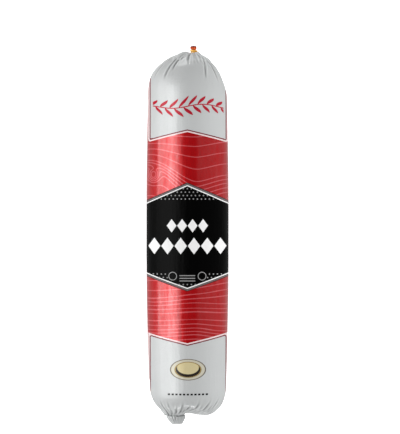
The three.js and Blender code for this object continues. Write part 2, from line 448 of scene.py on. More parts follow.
def film_points(wall, steps):
    """The film's surface at a wall's depth: rings of the outline, moved along their outward direction.

    The folds, dents and loose collar move both faces alike near the mouths. Under the domes the inner face
    leaves the narrow folds out and lies deeper instead, so that it can have fewer rings. Also returned are
    how deep each place lies in a fold, and how loose the film is there.
    """
    radius, y, out_r, out_y, from_mouth = outline(*steps)
    angle = (np.arange(SIDES) * 2 * np.pi / SIDES)[None, :]
    hung, lower = y > HUNG["shoulder"], y < -LOWER["shoulder"]
    in_skirt = lower & (from_mouth < SKIRT_WAY)
    on_dome = lower & ~in_skirt
    past_neck = from_mouth - np.where(lower, LOWER_TAIL_WAY, HUNG_TAIL_WAY + 1.5)
    under = smooth((np.abs(y) - SLACK_FROM) / SLACK_WAY) * smooth(past_neck / 7) * (wall > 0)
    folded = fold_depth(HUNG_FOLDS, angle, radius) * hung * smooth(from_mouth / 6)
    folded = (folded + fold_depth(LOWER_FOLDS, angle, radius) * on_dome) * (1 - under)
    hung_sink, loose, hung_near = hung_shape(angle, radius)
    lower_sink, lower_near = lower_shape(angle, radius)
    loose = loose * hung
    fine_pleats = (hung_near * hung + lower_near * on_dome) * np.sin(
        FINE_PLEATS * angle + 2.0 * np.sin(3 * angle) + 0.04 * radius
    )
    # The barrel is never quite round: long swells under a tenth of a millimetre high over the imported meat.
    swell = SWELL * np.sin(3 * angle + y / 31) * np.sin(y / 17 + 2 * np.sin(angle)) * (~hung & ~lower)
    sunk = folded + FINE_PLEAT_DEPTH * fine_pleats + hung_sink * hung + lower_sink * on_dome
    sunk = sunk + np.abs(swell) + wall + INNER_SLACK * under
    # The hung mouth waves more and more over its last millimetres. The skirt's pleats die away at its mouth.
    hung_flare = HUNG_RUFFLE * smooth(1 - from_mouth / HUNG_RUFFLE_WAY) * hung * ruffle(angle, 3)
    pleats = np.abs(np.sin(7.5 * angle + 1.3 * np.sin(2 * angle) + 0.35)) - 0.5 + 0.22 * np.sin(24 * angle)
    pleats = pleats * smooth(1.25 - from_mouth / SKIRT_WAY) * smooth(from_mouth / 2.5)
    skirt_flare = SKIRT_PLEAT * pleats * lower
    # The fold value: fold depth plus the pleats. It sets painted shade in valleys and a painted highlight on
    # ridges.
    fold_shade_value = folded + FINE_PLEAT_PAINTED_SHADE * fine_pleats - SKIRT_PAINTED_SHADE * skirt_flare
    ragged = LOWER_RAGGED * lower * ruffle(angle, 6) - HUNG_RAGGED * hung * (1 + ruffle(angle, 7))
    ragged = ragged * smooth(1 - from_mouth / RAGGED_WAY)
    moved_r = np.maximum(radius - out_r * sunk + hung_flare + skirt_flare, LEAST_RADIUS)
    moved_y = np.clip(y - out_y * sunk + ragged, -LENGTH / 2, LENGTH / 2)
    points = lay_down(moved_r, moved_y, angle, wall, radius)
    across, along = points[..., 0], points[..., 1]
    lower_move = np.interp(across, *LOWER_TUCK) * smooth((-LOWER_TUCK_FROM - along) / TUCK_WAY)
    hung_move = np.interp(across, *HUNG_TUCK) * smooth((along - HUNG_TUCK_FROM) / TUCK_WAY)
    lower_move = lower_move * smooth((radius - 5.5) / 3) * on_dome
    hung_move = hung_move * smooth((radius - 4) / 3) * hung
    lean = TAIL_LEAN * smooth((-LEAN_FROM - along) / LEAN_WAY) * in_skirt
    points[..., 0] = across + lean
    points[..., 1] = along + lower_move + hung_move
    return points, fold_shade_value, loose + 0 * angle


outside, fold_shade_value, loose = film_points(0.0, (3.0, 1.12, 0.46))
inside, inside_crease, inside_loose = film_points(WALL, (16.0, 4.0, 0.95))
inside, inside_crease, inside_loose = inside[::-1], inside_crease[::-1], inside_loose[::-1]
film_rings = len(outside) + len(inside)
film_faces = net(film_rings, SIDES, rows_closed=True)

# What each place on the film is printed with is worked out from where it lies, so that the print's own edges
# stay sharp however coarse the mesh: the shader only has to compare these distances.
x, y = outside[..., 0], outside[..., 1]
BADGE_TOP, BADGE_TOP_SLOPE = 41.5, 0.42
BADGE_FOOT, BADGE_FOOT_SLOPE = -44.5, 0.356
PANEL_TOP, PANEL_TOP_SLOPE = 83.4, 0.233
PANEL_FOOT, PANEL_FOOT_SLOPE = -87.5, 0.238
PANEL_HALF, PANEL_SHIFT = 29.9, 0.5
TUFT_Y, TUFT_SHADE_FROM_Y = 148.2, 150.3  # the hung end's tuft is printed solid orange, and past the second one it is a darker red that is painted shade


def badge_inset(x, y):
    """Millimetres inside the six-sided badge's edge: the nearer of its two roof-shaped edges."""
    top = (BADGE_TOP - BADGE_TOP_SLOPE * np.abs(x) - y) / np.hypot(1, BADGE_TOP_SLOPE)
    foot = (y - BADGE_FOOT - BADGE_FOOT_SLOPE * np.abs(x)) / np.hypot(1, BADGE_FOOT_SLOPE)
    return np.minimum(top, foot)


def panel_inset(x, y):
    """Millimetres inside the nearer silver panel: past its roof-shaped edge and between its long sides."""
    top = (y - PANEL_TOP + PANEL_TOP_SLOPE * np.abs(x)) / np.hypot(1, PANEL_TOP_SLOPE)
    foot = (PANEL_FOOT + PANEL_FOOT_SLOPE * np.abs(x) - y) / np.hypot(1, PANEL_FOOT_SLOPE)
    return np.minimum(np.maximum(top, foot), PANEL_HALF - np.abs(x - PANEL_SHIFT))


RISE_LEFT = ((-88, -59, -47, -39, 0, 27, 70, 88), (-2.4, -1.7, -3.9, -1.6, 0, 25.6, 2.6, 1.3))
RISE_RIGHT = (
    (-88, -73, -65, -59, -54, -50, -45, -39, 27, 59, 88),
    (-3.7, -3.5, -1.7, -1.0, -2.7, 1.8, 3.9, 3.4, 7.4, 4.5, 3.8),
)


def grain_level(x, y):
    """Which line of the wood grain passes through a place, named by the height it has over the middle.

    A line that is at a level over the middle rises by one amount towards the left side and by another towards
    the right. The level is found by closing in on it: time after time it is moved by about a third of what
    the line misses the place by. A bell-shaped bump added to the level closes some lines into a knot's rings.
    """
    left = smooth((10 - x) / 40)
    right = smooth((x - 4) / 30)
    level = y.copy()
    for _ in range(60):
        line = level + np.interp(level, *RISE_LEFT) * left + np.interp(level, *RISE_RIGHT) * right
        level += 0.35 * (y - line)
    return level + 16 * np.exp(-(((x + 27) / 4.5) ** 2) - ((y - KNOT_Y) / 5.5) ** 2)


# Heights over the middle at which the grain has a line, unevenly spaced like years of growth.
GRAIN_LINES = np.array(
    [-86, -82, -78.4, -75.9, -73.6, -69.9, -66.8, -60.0, -57.9, -53.1, -50.1, -46.9, -42]
    + [-35, -23, -15.5, -8.6, -1.7, 5.2, 11.1, 16, 21.9, 26.8, 30.7, 34.6, 38.1, 41.5]
    + [51.7, 61.3, 69.9, 77.4, 84.8]
)
level_scale = np.arange(-100, 100, 0.25)
# Past the last line at each end the count stops half way to the next, so that no line is drawn there.
line_levels = np.concatenate([[GRAIN_LINES[0] - 3], GRAIN_LINES, [GRAIN_LINES[-1] + 3]])
line_numbers = np.concatenate([[-0.5], np.arange(len(GRAIN_LINES)), [len(GRAIN_LINES) - 0.5]])
line_count = np.interp(level_scale, line_levels, line_numbers)
line_count = np.convolve(np.pad(line_count, 4, "edge"), np.ones(9) / 9, "valid")
grain = np.interp(grain_level(x, y), level_scale, line_count)
nudge = 0.05
grain_along = (np.interp(grain_level(x, y + nudge), level_scale, line_count) - grain) / nudge
grain_across = (np.interp(grain_level(x + nudge, y), level_scale, line_count) - grain) / nudge
grain_slope = np.maximum(np.hypot(grain_along, grain_across), 0.02)

blank = np.zeros(inside.shape[:2])
on_tuft, in_tuft = y > TUFT_Y, inside[..., 1] > TUFT_Y
film_values = {
    "badge": np.concatenate([badge_inset(x, y), blank - 60]),
    "panel": np.concatenate([np.where(on_tuft, -6.0, panel_inset(x, y)), np.where(in_tuft, -6, 6)]),
    "grain": np.concatenate([np.where(on_tuft, 0.5, grain), blank + 0.5]),
    "grain_slope": np.concatenate([grain_slope, blank + 1]),
    "fold_shade_value": np.concatenate([fold_shade_value, inside_crease]),
    "loose": np.concatenate([loose, inside_loose]),
}

# Blown film printed in the flat: the panels are a pearly silver-white ink, the ground is a clear red ink
# over metallised film, and the badge is a matt black ink. To the eye: white that is soft and even, red that
# is deep where it faces the dark and bright salmon where it faces a light, and black that hardly shines.
film, tree = new_material("printed_blown_film")
place = add(tree, "ShaderNodeTexCoord").outputs["Object"]
in_mm = add(tree, "ShaderNodeVectorMath", {"operation": "SCALE"}, {0: place, "Scale": 1 / MM})
split = add(tree, "ShaderNodeSeparateXYZ", inputs={0: in_mm.outputs["Vector"]})
known = {"x": split.outputs["X"], "y": split.outputs["Y"]}
for name in film_values:
    known[name] = add(tree, "ShaderNodeAttribute", {"attribute_name": name}).outputs["Fac"]

PEARL_COAT, RED_COAT = 0.26, 1.0
GATHER_COAT, GATHER_FROM, GATHER_WHOLE = 0.2, 122.0, 12.0  # the gathered ends stand free and gleam more
PEARL_METAL, RED_METAL = 0.05, 0.19
GRAIN_LINE_HALF = 0.38
SPRIG_X, SPRIG_Y, SPRIG_HALF_LENGTH = 0.6, 101.8, 28.2
STEM_SWING, STEM_WAVE, STEM_HALF = 1.6, 2 * np.pi / 48, 0.42
LEAF_PITCH, LEAF_REACH, LEAF_HALF_WIDTH, LEAF_SLANT = 7.4, 8.4, 1.75, 0.95
UPPER_ROW_Y, UPPER_ROW_PITCH, UPPER_ROW_HALF = 7.4, 8.3, 5.3
LOWER_ROW_Y, LOWER_ROW_PITCH, LOWER_ROW_HALF = -8.6, 10.5, 6.6
DOT_PITCH_X, DOT_PITCH_Y, DOT_RADIUS = 3.18, 5.4, 0.55
RING_X, RING_Y, RING_RADIUS, RING_HALF = 11.6, -32.4, 3.1, 0.3
BAR_HALF_LENGTH, BAR_Y, BAR_PITCH, BAR_HALF = 6.2, -32.0, 2.1, 0.36
OVAL_X, OVAL_Y, OVAL_HALF_X, OVAL_HALF_Y = 0.5, -106.4, 14.3, 8.5
OVAL_INNER, CRESCENT_UP, CRESCENT_SHARE = 0.68, 1.5, 0.6
TICKS_X, TICKS_Y, TICKS_HALF_LENGTH, TICK_HALF_HEIGHT = 0.4, -126.1, 16.2, 0.7
TICK_PITCH, TICK_HALF = 3.0, 0.95

# One sum a line: its name, what it does, and up to three numbers or earlier names.
for name, operation, *terms in (
    ("ax", "ABSOLUTE", "x"),
    # grain lines: distance to the nearest whole number, turned to millimetres by the slope
    ("to_line", "PINGPONG", "grain", 0.5),
    ("from_line", "DIVIDE", "to_line", "grain_slope"),
    ("grain_line", "LESS_THAN", "from_line", GRAIN_LINE_HALF),
    # a sprig at the head of the upper panel: a gently waving stem, with lens-shaped leaves above and below it
    # by turns, all slanting the same way
    ("sprig_x", "SUBTRACT", "x", SPRIG_X),
    ("sprig_ax", "ABSOLUTE", "sprig_x"),
    ("stem_turn", "MULTIPLY", "sprig_x", STEM_WAVE),
    ("stem_wave", "SINE", "stem_turn"),
    ("stem_y", "MULTIPLY_ADD", "stem_wave", STEM_SWING, SPRIG_Y),
    ("sprig_y", "SUBTRACT", "y", "stem_y"),
    ("sprig_ay", "ABSOLUTE", "sprig_y"),
    ("below", "LESS_THAN", "sprig_y", 0.0),
    ("leaf_back", "MULTIPLY_ADD", "sprig_ay", -LEAF_SLANT, "sprig_x"),
    ("leaf_x", "MULTIPLY_ADD", "below", LEAF_PITCH / 2, "leaf_back"),
    ("leaf_off", "PINGPONG", "leaf_x", LEAF_PITCH / 2),
    ("leaf_end", "DIVIDE", "sprig_ax", -SPRIG_HALF_LENGTH * 2.4),
    ("leaf_tall", "MULTIPLY_ADD", "leaf_end", LEAF_REACH, LEAF_REACH),
    ("leaf_up", "DIVIDE", "sprig_ay", "leaf_tall"),
    ("leaf_left", "SUBTRACT", 1.0, "leaf_up"),
    ("leaf_lens", "MULTIPLY", "leaf_up", "leaf_left"),
    ("leaf_width", "MULTIPLY", "leaf_lens", 4 * LEAF_HALF_WIDTH),
    ("leaf", "LESS_THAN", "leaf_off", "leaf_width"),
    ("stem", "LESS_THAN", "sprig_ay", STEM_HALF),
    ("sprig_any", "MAXIMUM", "leaf", "stem"),
    ("sprig_end", "LESS_THAN", "sprig_ax", SPRIG_HALF_LENGTH),
    ("sprig", "MULTIPLY", "sprig_any", "sprig_end"),
    # two rows of lozenges across the badge: four above, six below
    ("upper_shift", "ADD", "x", UPPER_ROW_PITCH / 2),
    ("upper_off", "PINGPONG", "upper_shift", UPPER_ROW_PITCH / 2),
    ("upper_y", "SUBTRACT", "y", UPPER_ROW_Y),
    ("upper_ay", "ABSOLUTE", "upper_y"),
    ("upper_part", "DIVIDE", "upper_ay", UPPER_ROW_HALF),
    ("upper_sum", "MULTIPLY_ADD", "upper_off", 1 / (0.47 * UPPER_ROW_PITCH), "upper_part"),
    ("upper_shape", "LESS_THAN", "upper_sum", 1.0),
    ("upper_end", "LESS_THAN", "ax", 2 * UPPER_ROW_PITCH),
    ("upper_row", "MULTIPLY", "upper_shape", "upper_end"),
    ("lower_shift", "ADD", "x", LOWER_ROW_PITCH / 2),
    ("lower_off", "PINGPONG", "lower_shift", LOWER_ROW_PITCH / 2),
    ("lower_y", "SUBTRACT", "y", LOWER_ROW_Y),
    ("lower_ay", "ABSOLUTE", "lower_y"),
    ("lower_part", "DIVIDE", "lower_ay", LOWER_ROW_HALF),
    ("lower_sum", "MULTIPLY_ADD", "lower_off", 1 / (0.47 * LOWER_ROW_PITCH), "lower_part"),
    ("lower_shape", "LESS_THAN", "lower_sum", 1.0),
    ("lower_end", "LESS_THAN", "ax", 3 * LOWER_ROW_PITCH),
    ("lower_row", "MULTIPLY", "lower_shape", "lower_end"),
    ("lozenges", "MAXIMUM", "upper_row", "lower_row"),
    # dots in staggered rows near the badge's two points: two square lattices, one half a step off
    ("dot_y", "SUBTRACT", "y", 36.6),
    ("dot_ax", "PINGPONG", "x", DOT_PITCH_X / 2),
    ("dot_ay", "PINGPONG", "dot_y", DOT_PITCH_Y / 2),
    ("dot_bx", "SUBTRACT", DOT_PITCH_X / 2, "dot_ax"),
    ("dot_by", "SUBTRACT", DOT_PITCH_Y / 2, "dot_ay"),
    ("dot_ax2", "MULTIPLY", "dot_ax", "dot_ax"),
    ("dot_bx2", "MULTIPLY", "dot_bx", "dot_bx"),
    ("dot_a", "MULTIPLY_ADD", "dot_ay", "dot_ay", "dot_ax2"),
    ("dot_b", "MULTIPLY_ADD", "dot_by", "dot_by", "dot_bx2"),
    ("dot_near", "MINIMUM", "dot_a", "dot_b"),
    ("dot_shape", "LESS_THAN", "dot_near", DOT_RADIUS**2),
    ("dot_in", "GREATER_THAN", "badge", 3.0),
    ("y_mid", "SUBTRACT", "y", -1.5),
    ("y_far", "ABSOLUTE", "y_mid"),
    ("dot_end", "GREATER_THAN", "y_far", 28.6),
    ("dot_kept", "MULTIPLY", "dot_in", "dot_end"),
    # at the lower point the dots leave room for two plain rings with three plain bars between them
    ("ring_x", "SUBTRACT", "ax", RING_X),
    ("ring_y", "SUBTRACT", "y", RING_Y),
    ("ring_x2", "MULTIPLY", "ring_x", "ring_x"),
    ("ring_r2", "MULTIPLY_ADD", "ring_y", "ring_y", "ring_x2"),
    ("ring_r", "SQRT", "ring_r2"),
    ("ring_off", "SUBTRACT", "ring_r", RING_RADIUS),
    ("ring_far", "ABSOLUTE", "ring_off"),
    ("ring", "LESS_THAN", "ring_far", RING_HALF),
    ("low", "LESS_THAN", "y", 0.0),
    ("in_middle", "LESS_THAN", "ax", RING_X + RING_RADIUS + 0.8),
    ("over_last", "GREATER_THAN", "y", -37.6),
    ("room_x", "MULTIPLY", "in_middle", "low"),
    ("room", "MULTIPLY", "room_x", "over_last"),
    ("dot_room", "SUBTRACT", 1.0, "room"),
    ("dots_in_room", "MULTIPLY", "dot_kept", "dot_room"),
    ("dots", "MULTIPLY", "dot_shape", "dots_in_room"),
    ("bar_y", "SUBTRACT", "y", BAR_Y - BAR_PITCH),
    ("bar_off", "PINGPONG", "bar_y", BAR_PITCH / 2),
    ("bar_shape", "LESS_THAN", "bar_off", BAR_HALF),
    ("bar_far", "ABSOLUTE", "bar_y"),
    ("bar_rows", "LESS_THAN", "bar_far", 1.5 * BAR_PITCH),
    ("bar_end", "LESS_THAN", "ax", BAR_HALF_LENGTH),
    ("bar_in", "MULTIPLY", "bar_rows", "bar_end"),
    ("bars", "MULTIPLY", "bar_shape", "bar_in"),
    ("marks", "MAXIMUM", "ring", "bars"),
    ("low_marks", "MULTIPLY", "marks", "low"),
    ("grey_marks", "MAXIMUM", "dots", "low_marks"),
    # a plain oval on the lower panel
    ("oval_x", "SUBTRACT", "x", OVAL_X),
    ("oval_y", "SUBTRACT", "y", OVAL_Y),
    ("oval_u", "DIVIDE", "oval_x", OVAL_HALF_X),
    ("oval_v", "DIVIDE", "oval_y", OVAL_HALF_Y),
    ("oval_u2", "MULTIPLY", "oval_u", "oval_u"),
    ("oval_uv", "MULTIPLY_ADD", "oval_v", "oval_v", "oval_u2"),
    ("oval", "SQRT", "oval_uv"),
    ("in_oval", "LESS_THAN", "oval", 1.0),
    ("crescent_y", "SUBTRACT", "oval_y", CRESCENT_UP),
    ("crescent_v", "DIVIDE", "crescent_y", OVAL_HALF_Y),
    ("crescent_uv", "MULTIPLY_ADD", "crescent_v", "crescent_v", "oval_u2"),
    ("crescent_far", "GREATER_THAN", "crescent_uv", CRESCENT_SHARE**2),
    ("crescent_in", "LESS_THAN", "oval", OVAL_INNER),
    ("crescent", "MULTIPLY", "crescent_far", "crescent_in"),
    # a row of short ticks near the lower end
    ("tick_x", "SUBTRACT", "x", TICKS_X),
    ("tick_ax", "ABSOLUTE", "tick_x"),
    ("tick_y", "SUBTRACT", "y", TICKS_Y),
    ("tick_ay", "ABSOLUTE", "tick_y"),
    ("tick_off", "PINGPONG", "tick_x", TICK_PITCH / 2),
    ("tick_row", "LESS_THAN", "tick_ay", TICK_HALF_HEIGHT),
    ("tick_shape", "LESS_THAN", "tick_off", TICK_HALF),
    ("tick_end", "LESS_THAN", "tick_ax", TICKS_HALF_LENGTH),
    ("tick_in", "MULTIPLY", "tick_row", "tick_shape"),
    ("ticks", "MULTIPLY", "tick_in", "tick_end"),
    # which ground shows
    ("on_badge", "GREATER_THAN", "badge", 0.0),
    ("off_panel", "LESS_THAN", "panel", -2.0),
    ("off_badge", "SUBTRACT", 1.0, "on_badge"),
    ("on_red", "MULTIPLY", "off_panel", "off_badge"),
    ("grain_seen", "MULTIPLY", "on_red", "grain_line"),
    ("tuft", "GREATER_THAN", "y", TUFT_Y),
    # past here the tuft's far end is a darker red, painted shade
    ("tuft_painted_shade", "GREATER_THAN", "y", TUFT_SHADE_FROM_Y),
    ("lozenges_seen", "MULTIPLY", "lozenges", "on_badge"),
    ("marks_seen", "MULTIPLY", "grey_marks", "on_badge"),
    # how much of each finish shows
    ("far", "ABSOLUTE", "y"),
    ("past_full", "SUBTRACT", "far", GATHER_FROM),
    ("gather_part", "DIVIDE", "past_full", GATHER_WHOLE),
    ("gather_up", "MAXIMUM", "gather_part", 0.0),
    ("gathered", "MINIMUM", "gather_up", 1.0),
    ("gather_coat", "MULTIPLY_ADD", "gathered", GATHER_COAT, PEARL_COAT),
    ("pearl_coat", "MULTIPLY", "off_badge", "gather_coat"),
    ("coat", "MULTIPLY_ADD", "on_red", RED_COAT - PEARL_COAT, "pearl_coat"),
    ("pearl_metal", "MULTIPLY", "off_badge", PEARL_METAL),
    ("metal", "MULTIPLY_ADD", "on_red", RED_METAL - PEARL_METAL, "pearl_metal"),
):
    inputs = {i: known.get(term, term) for i, term in enumerate(terms)}
    known[name] = add(tree, "ShaderNodeMath", {"operation": operation}, inputs).outputs[0]

SILVER_WHITE = "#b8baba"
DEEP_RED = "#a0030a"
RED_LINE = "#ba4a4f"
TUFT_ORANGE = "#cf5216"
# The tuft's far end: a darker red that is painted shade.
TUFT_PAINTED_SHADE_RED = "#8c1f22"
PINK_KEYLINE = "#dccaca"
DARK_RED_LINE = "#6e1420"
MATT_BLACK = "#030303"
BADGE_GREY = "#6a6060"
PURE_WHITE = "#e4e4e4"
MARK_GREY = "#8f8f8f"
LEAF_RED = "#a51a2c"
CREAM = "#c6b98f"
GOLD_LINE = "#8d7746"
CRESCENT_BLACK = "#2a2420"
TICK_BLACK = "#1d1d1d"

# The panels' edge from inside out: silver, dark red line, pale keyline, red, as steps of the inset.
panel_edge = add(tree, "ShaderNodeValToRGB")
add_inset = add(tree, "ShaderNodeMath", {"operation": "MULTIPLY_ADD"}, {0: known["panel"], 1: 0.25, 2: 0.75})
tree.links.new(add_inset.outputs[0], panel_edge.inputs["Fac"])
panel_edge.color_ramp.interpolation = "CONSTANT"
stops = panel_edge.color_ramp.elements
stops[0].position, stops[0].color = 0.0, linear(DEEP_RED)
stops[1].position, stops[1].color = 0.75, linear(SILVER_WHITE)
for inset, colour in ((-2.0, PINK_KEYLINE), (-0.9, DARK_RED_LINE)):
    stops.new(0.75 + 0.25 * inset).color = linear(colour)

# The badge's edge from outside in: dark line, grey band, dark line, white keyline, black.
badge_edge = add(tree, "ShaderNodeValToRGB")
add_inset = add(tree, "ShaderNodeMath", {"operation": "MULTIPLY"}, {0: known["badge"], 1: 0.2})
tree.links.new(add_inset.outputs[0], badge_edge.inputs["Fac"])
badge_edge.color_ramp.interpolation = "CONSTANT"
stops = badge_edge.color_ramp.elements
stops[0].position, stops[0].color = 0.0, linear("#33201f")
stops[1].position, stops[1].color = 0.54, linear(MATT_BLACK)
for inset, colour in ((0.5, BADGE_GREY), (1.55, "#1c1616"), (1.85, PURE_WHITE)):
    stops.new(0.2 * inset).color = linear(colour)

# The oval's rings from the middle out: cream, a fine gold line, pale silver, and a fine dark line.
oval_rings = add(tree, "ShaderNodeValToRGB", inputs={"Fac": known["oval"]})
oval_rings.color_ramp.interpolation = "CONSTANT"
stops = oval_rings.color_ramp.elements
stops[0].position, stops[0].color = 0.0, linear(CREAM)
stops[1].position, stops[1].color = 0.93, linear("#6a6258")
for position, colour in ((OVAL_INNER, GOLD_LINE), (OVAL_INNER + 0.07, "#bdb9a8")):
    stops.new(position).color = linear(colour)

colour = panel_edge.outputs["Color"]
for share, ink in (
    ("grain_seen", linear(RED_LINE)),
    ("tuft", linear(TUFT_ORANGE)),
    ("tuft_painted_shade", linear(TUFT_PAINTED_SHADE_RED)),
    ("sprig", linear(LEAF_RED)),
    ("in_oval", oval_rings.outputs["Color"]),
    ("crescent", linear(CRESCENT_BLACK)),
    ("ticks", linear(TICK_BLACK)),
    ("on_badge", badge_edge.outputs["Color"]),
    ("lozenges_seen", linear(PURE_WHITE)),
    ("marks_seen", linear(MARK_GREY)),
):
    mixed = add(tree, "ShaderNodeMix", {"data_type": "RGBA"}, {"Factor": known[share], 6: colour, 7: ink})
    colour = mixed.outputs[2]
# Painted shade in the folds' valleys and a painted highlight on their ridges: the fold value darkens or
# brightens the ink.
painted_fold_shade_and_highlight = add(tree, "ShaderNodeMapRange", inputs={"Value": known["fold_shade_value"], "From Min": -0.3, "From Max": 0.5})
painted_fold_shade_and_highlight.inputs["To Min"].default_value, painted_fold_shade_and_highlight.inputs["To Max"].default_value = 1.26, 0.66
terms = {0: known["loose"], 1: 0.14, 2: painted_fold_shade_and_highlight.outputs[0]}
lifted = add(tree, "ShaderNodeMath", {"operation": "MULTIPLY_ADD"}, terms)
shaded = add(tree, "ShaderNodeVectorMath", {"operation": "SCALE"}, {0: colour, "Scale": lifted.outputs[0]})

# Two crinkles in the film: fine ones all over, and long shallow ones that run the length of the tube.
at_mm = in_mm.outputs["Vector"]
fine_crinkle = add(tree, "ShaderNodeTexNoise", inputs={"Vector": at_mm, "Scale": 0.55, "Detail": 3.0})
stretch = add(tree, "ShaderNodeMapping", inputs={"Vector": at_mm, "Scale": (0.35, 0.05, 0.35)})
stretched = stretch.outputs["Vector"]
long_crinkle = add(tree, "ShaderNodeTexNoise", inputs={"Vector": stretched, "Scale": 1.0, "Detail": 2.0})
crinkled = add(
    tree,
    "ShaderNodeBump",
    inputs={"Strength": 1.0, "Distance": 0.15 * MM, "Height": fine_crinkle.outputs["Fac"]},
)
crinkled = add(
    tree,
    "ShaderNodeBump",
    inputs={
        "Strength": 1.0,
        "Distance": 0.3 * MM,
        "Height": long_crinkle.outputs["Fac"],
        "Normal": crinkled.outputs["Normal"],
    },
)
# Handling leaves the gloss streaky along the tube: bright bands a few millimetres wide, broken up finely.
drawn_out = add(tree, "ShaderNodeMapping", inputs={"Vector": at_mm, "Scale": (0.42, 0.07, 0.42)})
streaks = add(
    tree,
    "ShaderNodeTexNoise",
    inputs={"Vector": drawn_out.outputs["Vector"], "Scale": 1.0, "Detail": 5.0, "Roughness": 0.65},
)
gloss = add(tree, "ShaderNodeMapRange", inputs={"Value": streaks.outputs["Fac"]})
gloss.inputs["From Min"].default_value, gloss.inputs["From Max"].default_value = 0.36, 0.62
gloss.inputs["To Min"].default_value, gloss.inputs["To Max"].default_value = 0.5, 1.0
share = gloss.outputs["Result"]
streaky_coat = add(tree, "ShaderNodeMath", {"operation": "MULTIPLY"}, {0: known["coat"], 1: share})
sheen = add(tree, "ShaderNodeMapRange", inputs={"Value": fine_crinkle.outputs["Fac"]})
sheen.inputs["To Min"].default_value, sheen.inputs["To Max"].default_value = 0.34, 0.46
printed = add(
    tree,
    "ShaderNodeBsdfPrincipled",
    inputs={
        "Base Color": shaded.outputs["Vector"],
        "Metallic": known["metal"],
        "Roughness": sheen.outputs["Result"],
        "Specular IOR Level": 0.02,
        "Coat Weight": streaky_coat.outputs[0],
        "Coat Roughness": 0.19,
        "Coat IOR": 1.5,
        "Normal": crinkled.outputs["Normal"],
    },
)
add(tree, "ShaderNodeOutputMaterial", inputs={"Surface": printed.outputs["BSDF"]})

casing = new_piece("casing", np.concatenate([outside, inside]), film_faces, film)
for name, values in film_values.items():
    attribute = casing.data.attributes.new(name, "FLOAT", "POINT")
    attribute.data.foreach_set("value", values.astype(np.float32).ravel())
# A map for the film's picture: the outside over most of the width, the inside beside it, both as if slit
# along one side and opened flat. The rows that join them at the two mouths lie in the inside's strip.
OUTSIDE_SHARE, INSIDE_FROM, MAP_MARGIN = 0.86, 0.88, 0.02
map_rows = []
for sheet in (outside, inside):
    walked = np.concatenate([[0], np.cumsum(np.linalg.norm(np.diff(sheet[:, 0], axis=0), axis=1))])
    map_rows.append(MAP_MARGIN + (1 - 2 * MAP_MARGIN) * walked / walked[-1])
out_v, in_v = map_rows
low_v = np.concatenate([out_v[:-1], [0.0], in_v[:-1], [1 - MAP_MARGIN]])
high_v = np.concatenate([out_v[1:], [MAP_MARGIN], in_v[1:], [1.0]])
is_outside = np.arange(film_rings) < len(outside) - 1
start_u = np.where(is_outside, 0.0, INSIDE_FROM)
share_u = np.where(is_outside, OUTSIDE_SHARE, 1 - INSIDE_FROM)
corner_u = (np.arange(SIDES)[:, None] + np.array([0, 1, 1, 0])) / SIDES
map_u = start_u[:, None, None] + share_u[:, None, None] * corner_u
map_v = np.stack([low_v, low_v, high_v, high_v], axis=-1)[:, None, :] + 0 * map_u
flat_map = casing.data.uv_layers.new(name="OFBake")
flat_map.data.foreach_set("uv", np.stack([map_u, map_v], axis=-1).astype(np.float32).ravel())
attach(casing, "root")
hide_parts("printed_casing")


# ---------------------------------------------------------------------------------------------
# The hung end's clip: soft aluminium wire in a coppery gold lacquer, wound a turn and a third
# round the gathered neck and pressed tight, with one leg left standing out.
# ---------------------------------------------------------------------------------------------


def wire_points(wire, steps, sides):
    """A round wire wound about an axis along Y.

    Its centre line is a helix that ends at a given angle and spreads outwards over its last part. Round it
    run circles that shrink to domed ends: their radius is the wire's times the height of a unit circle, the
    square root of one less the square of how far they are past the straight part.
    """
    t = np.linspace(0, 1, steps)
    half = wire["thickness"] / 2
    winding = np.radians(wire["end"] - (1 - t) * wire["turns"] * 360)
    coil = wire["neck"] + wire["gap"] + half + wire["spread"] * t**6
    centre = np.stack(
        [coil * np.cos(winding), (t - 0.5) * wire["turns"] * wire["pitch"], coil * np.sin(winding)], axis=-1
    )
    ahead = np.gradient(centre, axis=0)
    ahead /= np.linalg.norm(ahead, axis=1, keepdims=True)
    side = np.stack([np.cos(winding), 0 * t, np.sin(winding)], axis=-1)
    side -= (side * ahead).sum(axis=1, keepdims=True) * ahead
    side /= np.linalg.norm(side, axis=1, keepdims=True)
    up = np.cross(ahead, side)
    walked = np.concatenate([[0], np.cumsum(np.linalg.norm(np.diff(centre, axis=0), axis=1))])
    from_end = np.minimum(walked, walked[-1] - walked)
    domed = np.sqrt(np.clip(1 - (1 - np.minimum(from_end / half, 1)) ** 2, 0.0004, 1))
    angle = np.arange(sides) * 2 * np.pi / sides
    ring = np.cos(angle)[None, :, None] * side[:, None, :] + np.sin(angle)[None, :, None] * up[:, None, :]
    return centre[:, None, :] + half * domed[:, None, None] * ring


def new_clip(name, wire, material):
    """A clip's mesh: the wire's rings joined into a tube, with a point at each end.

    Each face's corners run clockwise as seen from outside, so the faces point into the wire.
    """
    steps, sides = wire["steps"], 20
    points = wire_points(wire, steps, sides) + np.array(wire["at"])
    ends = np.stack([points[0].mean(axis=0), points[-1].mean(axis=0)])
    count = steps * sides
    edge = np.arange(sides)
    beside = (edge + 1) % sides
    walls = net(steps, sides)
    faces = np.concatenate(
        [
            walls[:, [0, 2, 1]],
            walls[:, [0, 3, 2]],
            np.stack([np.full(sides, count), edge, beside], axis=-1),
            np.stack([np.full(sides, count + 1), count - sides + beside, count - sides + edge], axis=-1),
        ]
    )
    return new_piece(name, np.concatenate([points.reshape(-1, 3), ends]), faces, material)


HUNG_WIRE = {
    "neck": 1.0,
    "gap": 0.1,
    "thickness": 1.65,
    "turns": 1.3,
    "pitch": 1.2,
    "spread": 1.1,
    "end": 170.0,
    "steps": 110,
    "at": (5.34, 147.0, float(barrel_radius(np.array(147.0)) * np.cos(CONTACT_ANGLE))),
}

